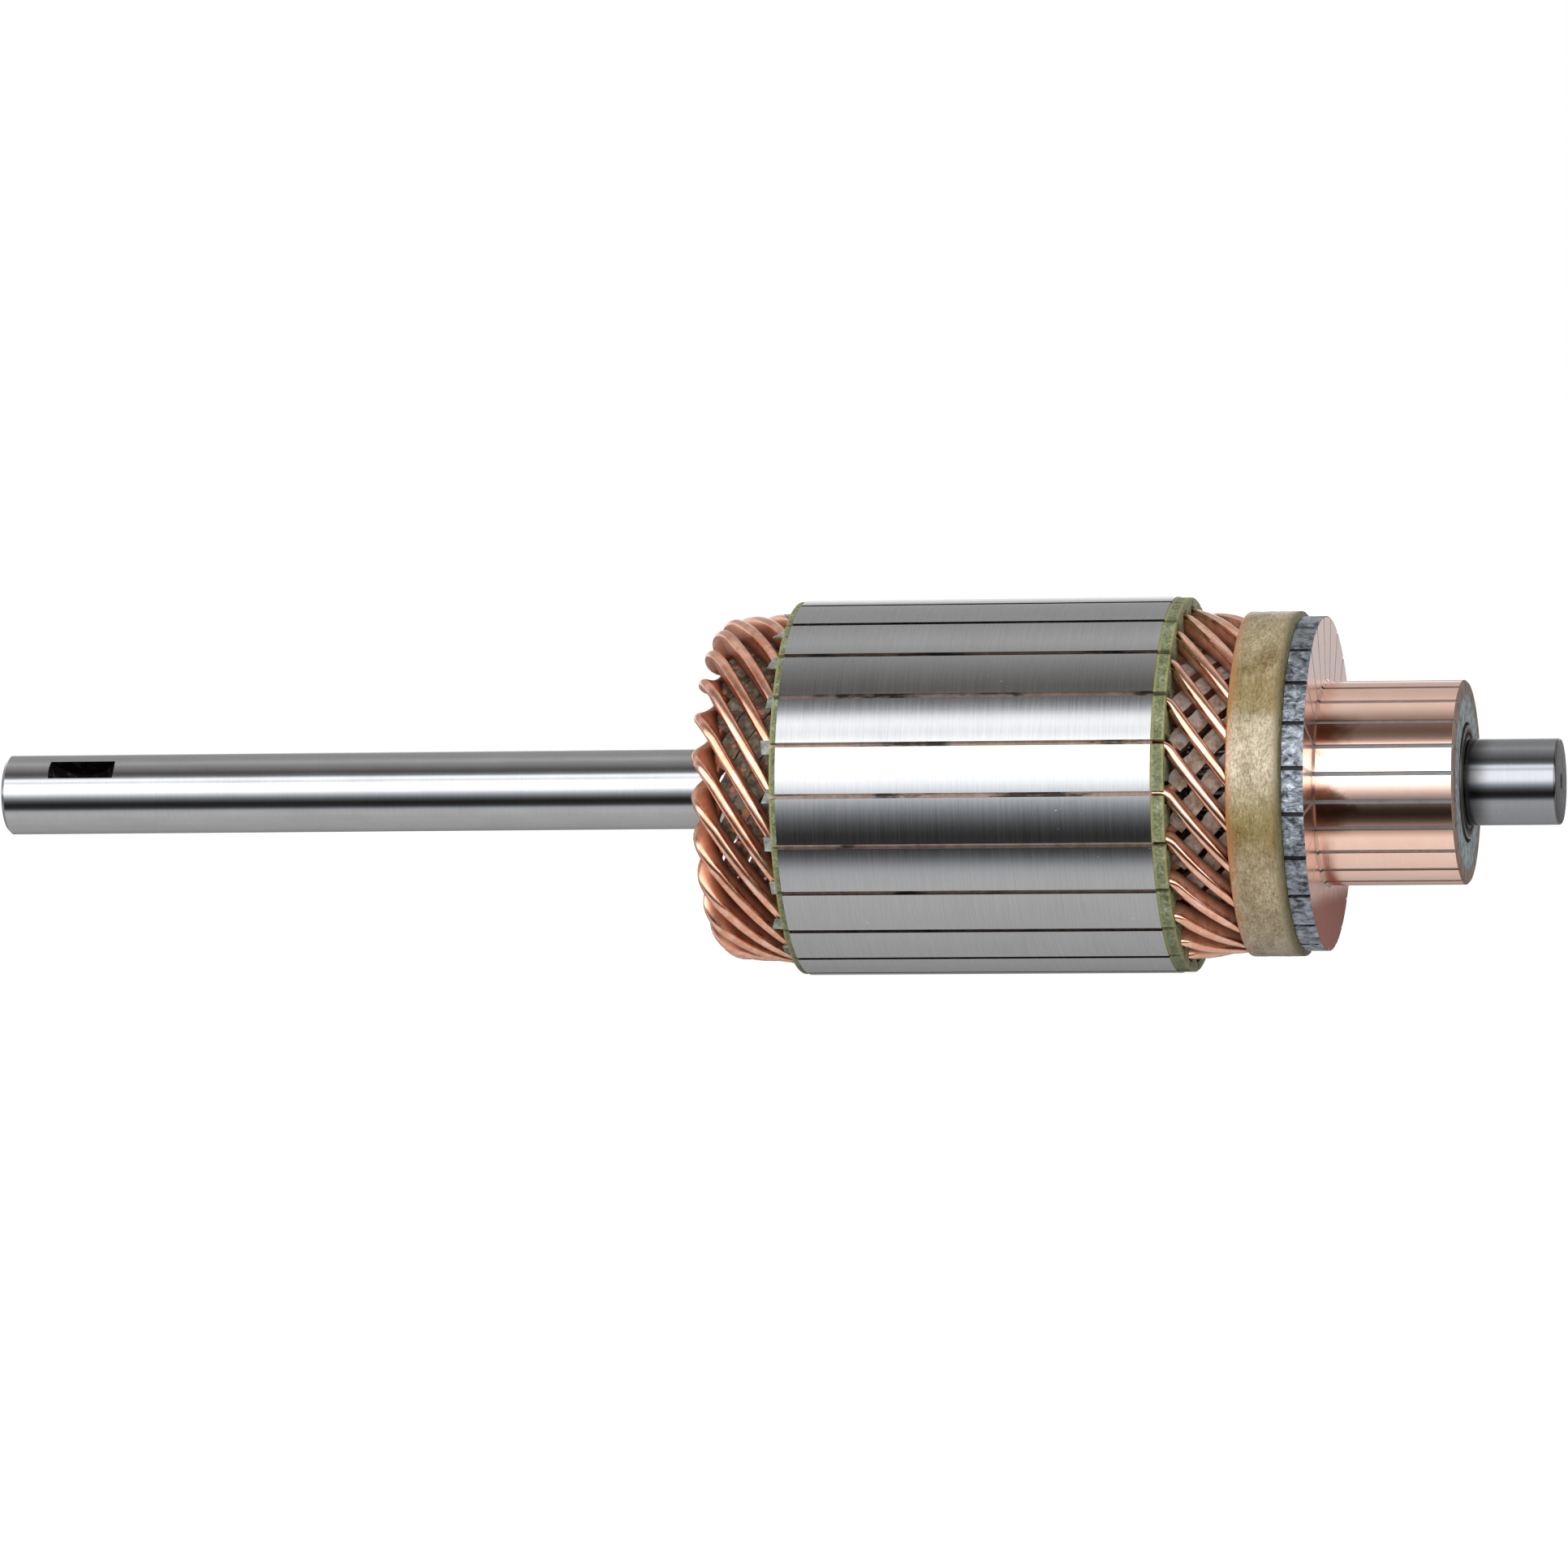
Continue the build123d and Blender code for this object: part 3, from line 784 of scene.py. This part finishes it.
def nose_stations():
    middle_r = drive_outer_r - fold_r
    start_angle = nose_sweep / 2 - leg_sweep
    rate = nose_sweep / math.pi
    stations = []
    for part in steps(fold_steps)[:-1]:
        fold = part * math.pi
        angle = start_angle - rate * (fold + nose_swell * math.sin(2 * fold) / 2)
        r = middle_r + fold_r * math.cos(fold)
        stations.append((nose_start - fold_r * math.sin(fold), r, angle, fold))
    return stations


def coil_path():
    """One hairpin coil whose outer leg is in the slot at angle 0."""
    inner_slot = -2 * leg_sweep
    path = list(reversed(commutator_stations(0, 0.0, 1)))
    path += drive_stations(0, 0.0, -1)
    path += nose_stations()
    path += reversed(drive_stations(1, inner_slot, 1))
    path += commutator_stations(1, inner_slot, -1)
    return path


def place(x, r, angle):
    return Vector((x, r * math.cos(angle), r * math.sin(angle)))


def bar_outline():
    """(outward, sideways) points round a bar with drawn, rounded edges."""
    points = []
    for turn, (out, side) in enumerate(((1, 1), (-1, 1), (-1, -1), (1, -1))):
        middle = Vector((out * (bar_h / 2 - bar_edge_r), side * (bar_w / 2 - bar_edge_r)))
        for part in range(4):
            angle = math.radians(90 * turn + 30 * part)
            points.append(middle + bar_edge_r * Vector((math.cos(angle), math.sin(angle))))
    return points


def swept_bar(name, path, outline, ragged=0.0):
    """A bar whose outline follows the path, closed at both ends. Ragged edges wander sideways."""
    shape = bmesh.new()
    depth = shape.verts.layers.float.new("depth")
    rings = []
    spots = [place(*station[:3]) for station in path]
    for index, (x, r, angle, fold) in enumerate(path):
        before = spots[max(index - 1, 0)]
        after = spots[min(index + 1, len(path) - 1)]
        here = spots[index]
        heading = Vector()
        if index > 0:
            heading += (here - before).normalized()
        if index < len(path) - 1:
            heading += (after - here).normalized()
        heading.normalize()
        radial = Vector((0, math.cos(angle), math.sin(angle)))
        outward = radial * math.cos(fold) - Vector((1, 0, 0)) * math.sin(fold)
        outward = (outward - heading * outward.dot(heading)).normalized()
        sideways = heading.cross(outward)
        ring = []
        for out, side in outline:
            torn = side * (1 + ragged * noise.noise(here * 0.9 + sideways * side))
            vertex = shape.verts.new((here + outward * out + sideways * torn) * mm)
            # depth, how far a point lies below the bar's outer face, drives the winding's painted shade;
            # the inner layer gets a middling depth throughout.
            vertex[depth] = 0.5 - out / bar_h if fold < 2 else 0.55
            ring.append(vertex)
        rings.append(ring)
    count = len(outline)
    for ring, after in zip(rings, rings[1:]):
        for k in range(count):
            shape.faces.new((ring[k], ring[(k + 1) % count], after[(k + 1) % count], after[k]))
    shape.faces.new(rings[0])
    shape.faces.new(rings[-1])
    bmesh.ops.recalc_face_normals(shape, faces=shape.faces)
    mesh = bpy.data.meshes.new(name)
    shape.to_mesh(mesh)
    shape.free()
    return mesh


def make_coils(finish):
    first = swept_bar("hairpin", coil_path(), bar_outline())
    first.shade_smooth()
    for number in range(slot_count):
        mesh = first.copy()
        mesh.transform(Matrix.Rotation(first_slot_angle + number * pitch, 4, "X"))
        piece = new_piece("hairpin_%02d" % (number + 1), mesh)
        smooth(piece, 50)
        settle(piece, finish, "winding_copper", "coil_%02d" % (number + 1))


def paper_path(stations):
    """The stations with three more between each two."""
    path = []
    for here, after in zip(stations, stations[1:]):
        for quarter in range(4):
            part = quarter / 4
            path.append(tuple(a + (b - a) * part for a, b in zip(here, after)))
    return path + [stations[-1]]


def make_papers(name, stations, width, finish, node):
    """Strips on the inner legs' outer faces, one for each slot."""
    near = -bar_h / 2 - paper_lift
    far = near - paper_t
    half = width / 2
    outline = [(near, -half), (near, 0.0), (near, half), (far, half), (far, 0.0), (far, -half)]
    strip = swept_bar(name, paper_path(stations), outline, paper_ragged)
    whole = bmesh.new()
    for number in range(slot_count):
        turned_strip = strip.copy()
        turned_strip.transform(Matrix.Rotation(first_slot_angle + number * pitch, 4, "X"))
        whole.from_mesh(turned_strip)
        bpy.data.meshes.remove(turned_strip)
    whole.to_mesh(strip)
    whole.free()
    piece = new_piece(name, strip)
    smooth(piece)
    settle(piece, finish, "layer_paper", node)


# Slot liners

def tear_flaps(piece):
    """Uneven ends on the liners where they stand out at the drive end."""
    low = min(vertex.co.x for vertex in piece.data.vertices)
    for vertex in piece.data.vertices:
        if vertex.co.x < low + 0.2 * mm:
            vertex.co.x += (flap_cut + flap_ragged * noise.noise(vertex.co / mm * 0.45)) * mm


# Binding band

def make_band(finish):
    low, high = band_start, band_end + band_lap
    outer_r = radius("binding_band")
    inner_r = riser_outer_r + bar_h / 2 + band_clear
    edge = band_edge_r
    soft = edge * 0.3             # of the way round the edge
    flat = high - low - 2 * edge
    corners = [
        (high, inner_r), (low + band_settle, inner_r), (low, inner_r + band_rise), (low, outer_r - edge),
        (low + soft, outer_r - soft), (low + edge, outer_r),
        *[(low + edge + flat * row / band_rows, outer_r) for row in range(1, band_rows)],
        (high - edge, outer_r), (high - soft, outer_r - soft), (high, outer_r - edge),
    ]
    piece = turned("wound_tape", corners, facets=360, closed=True)
    for vertex in piece.data.vertices:
        x, y, z = vertex.co / mm
        r = math.hypot(y, z)
        if r > outer_r - 0.5:
            angle = math.atan2(z, y)
            turn = Vector((x * 0.9, math.cos(angle) * 4, math.sin(angle) * 4))
            dip = band_wave * (0.5 + 0.5 * noise.noise(turn)) + band_grain * abs(noise.noise(turn * 4))
            fray = band_fray * (0.5 + noise.noise(turn * 6)) if x > high - edge / 2 else 0.0
            vertex.co = Vector((x - max(fray, 0.0), y * (r - dip) / r, z * (r - dip) / r)) * mm
    smooth(piece, 60)
    settle(piece, finish, "glass_tape", "binding_band")


# All pieces

make_shaft(ground_steel())
make_coils(winding_copper())
make_band(bound_tape())

disc_fibre = fibre()
for node, name, finish, slot in (
    ("core_stack", "laminated_core", core_steel(), "core_steel"),
    ("end_disc_drive", "drive_disc", disc_fibre, "fibre"),
    ("end_disc_commutator", "commutator_disc", disc_fibre, "fibre"),
    ("slot_liners", "liners", slot_paper(), "liner_paper"),
    ("commutator_moulding", "moulding", moulding_resin(), "resin"),
    ("commutator_bush", "bush", bush_steel(), "bush_steel"),
    ("riser_solder", "solder_fill", solder(), "solder"),
):
    piece = cad_copy(node, name)
    if node == "slot_liners":
        tear_flaps(piece)
    round_normals(piece)
    settle(piece, finish, slot, node)

strip_paper = layer_paper()
drive_strip = drive_stations(1, 0.0, 1)[bend_steps:]
commutator_strip = commutator_stations(1, 0.0, -1)[bend_steps:-1]
make_papers("drive_papers", drive_strip, drive_paper_w, strip_paper, "layer_paper_drive")
make_papers("commutator_papers", commutator_strip, commutator_paper_w, strip_paper,
            "layer_paper_commutator")

commutator_copper = segment_copper()
for number in range(slot_count):
    node = "commutator_bar_%02d" % (number + 1)
    piece = cad_copy(node, "segment_%02d" % (number + 1))
    round_normals(piece)
    settle(piece, commutator_copper, "commutator_copper", node)


# Floor, light and camera

picture = 1932                # pixels along each side of the photograph
focal_px = 14000
sensor = 36.0
camera_yaw = math.radians(11.4)
camera_rise = math.radians(2.5)
camera_roll = math.radians(-1.006)
camera_distance = 1671.6
aim_x = 57.66
aim_down_px = 5.2
floor_size = 12               # metres
floor_glow = 1.12             # as the camera sees it, so that it renders white
floor_glow_share = 0.88       # the rest shows the shadow
room_grey = 0.55              # what matt surfaces get from the room

# (angle about the shaft from the viewer's horizon, brightness, warmth) of what
# polished metal sees: floor, a dark gap, the soft front light, ceiling and wall.
studio = [
    (-180, 0.55, 0.00), (-165, 0.30, 0.00), (-146, 0.45, 0.00), (-125, 0.66, 0.00), (-93, 0.80, 0.00),
    (-76, 0.84, 0.00), (-60, 0.94, 0.00), (-50, 0.90, -0.02), (-46, 0.60, -0.06), (-42, 0.18, -0.05),
    (-37, 0.05, 0.06), (-26, 0.03, 0.06), (-19, 0.14, -0.02), (-12, 0.40, -0.06), (-6, 0.85, -0.06),
    (0, 1.55, -0.04), (5, 2.50, -0.02), (12, 2.80, 0.00), (30, 2.80, 0.00), (36, 1.60, -0.03),
    (40, 2.40, -0.02), (45, 2.60, 0.00), (48, 1.60, -0.04), (51, 0.50, -0.08), (56, 0.27, 0.00),
    (64, 0.16, 0.06), (72, 0.30, 0.04), (90, 0.58, 0.00), (102, 0.82, 0.00), (120, 0.60, 0.00),
    (155, 0.52, 0.00), (166, 1.20, 0.00),
]


def facing(azimuth, rise):
    """From the object towards a lamp or camera, azimuth counted from -Y towards +X."""
    level = math.cos(rise)
    return Vector((math.sin(azimuth) * level, -math.cos(azimuth) * level, math.sin(rise)))


def light_room():
    world = bpy.data.worlds.new("room")
    bpy.context.scene.world = world
    world.use_nodes = True
    world.node_tree.nodes.clear()
    room = Nodes(world.node_tree)
    x, y, z = room.split(room.add("ShaderNodeTexCoord", {}, {}, "Generated"))
    angle = z.math("ARCTAN2", y * -1)
    whole_turn = {"Value": angle, "From Min": -math.pi, "From Max": math.pi}
    turn = room.add("ShaderNodeMapRange", {}, whole_turn)
    tones = []
    for degrees, bright, warmth in studio:
        colour = (bright * (1 + warmth), bright, bright * (1 - warmth))
        tones.append(((degrees + 180) / 360, colour))
    glossy = room.add("ShaderNodeLightPath", {}, {}, "Is Glossy Ray")
    camera = room.add("ShaderNodeLightPath", {}, {}, "Is Camera Ray")
    lit = room.mix(glossy, (room_grey, room_grey, room_grey), room.ramp(turn, *tones))
    shown = room.mix(camera, lit, (1, 1, 1))
    background = room.add("ShaderNodeBackground", {}, {"Color": shown})
    room.add("ShaderNodeOutputWorld", {}, [background])


def lamp(name, azimuth, rise, distance, width, height, brightness):
    """Soft lamp that faces the object, hidden from the camera and from gloss."""
    light = bpy.data.lights.new(name, "AREA")
    light.shape = "RECTANGLE"
    light.size = width
    light.size_y = height
    light.energy = brightness * math.pi * width * height
    holder = bpy.data.objects.new(name, light)
    bpy.context.scene.collection.objects.link(holder)
    out = facing(azimuth, rise)
    holder.location = Vector((aim_x * mm, 0, 0)) + out * distance
    holder.rotation_euler = out.to_track_quat("Z", "Y").to_euler()
    holder.visible_camera = False
    holder.visible_glossy = False


def pale_floor():
    deselect()
    bpy.ops.mesh.primitive_plane_add(size=1)
    floor = bpy.context.object
    floor.name = "floor"
    stretch = Matrix.Diagonal((floor_size, floor_size, 1, 1))
    floor.data.transform(Matrix.Translation((0, 0, cad_box[0][2])) @ stretch)
    material = bpy.data.materials.new("pale_floor")
    material.use_nodes = True
    material.node_tree.nodes.clear()
    paint = Nodes(material.node_tree)
    matt = paint.add("ShaderNodeBsdfDiffuse", {}, {"Color": (0.85, 0.85, 0.85)})
    glow = paint.add("ShaderNodeEmission", {}, {"Color": (floor_glow, floor_glow, floor_glow)})
    clear = paint.add("ShaderNodeBsdfTransparent", {}, {})
    seen = paint.add("ShaderNodeLightPath", {}, {}, "Is Camera Ray") * floor_glow_share
    glossy = paint.add("ShaderNodeLightPath", {}, {}, "Is Glossy Ray")
    shown = paint.add("ShaderNodeMixShader", {}, [seen, matt, glow])
    surface = paint.add("ShaderNodeMixShader", {}, [glossy, shown, clear])
    paint.add("ShaderNodeOutputMaterial", {}, [surface])
    floor.data.materials.append(material)


def set_camera():
    data = bpy.data.cameras.new("camera")
    camera = bpy.data.objects.new("camera", data)
    bpy.context.scene.collection.objects.link(camera)
    data.sensor_width = sensor
    data.lens = focal_px * sensor / picture
    data.shift_y = aim_down_px / picture
    data.clip_end = 100
    out = facing(camera_yaw, camera_rise)
    turn = out.to_track_quat("Z", "Y").to_matrix().to_4x4() @ Matrix.Rotation(camera_roll, 4, "Z")
    camera.matrix_world = Matrix.Translation((Vector((aim_x, 0, 0)) + out * camera_distance) * mm) @ turn
    bpy.context.scene.camera = camera


light_room()
lamp("front_light", math.radians(10), math.radians(26), 2.2, 3.2, 1.8, 1.5)
pale_floor()
set_camera()
bpy.context.scene.view_settings.view_transform = "Standard"
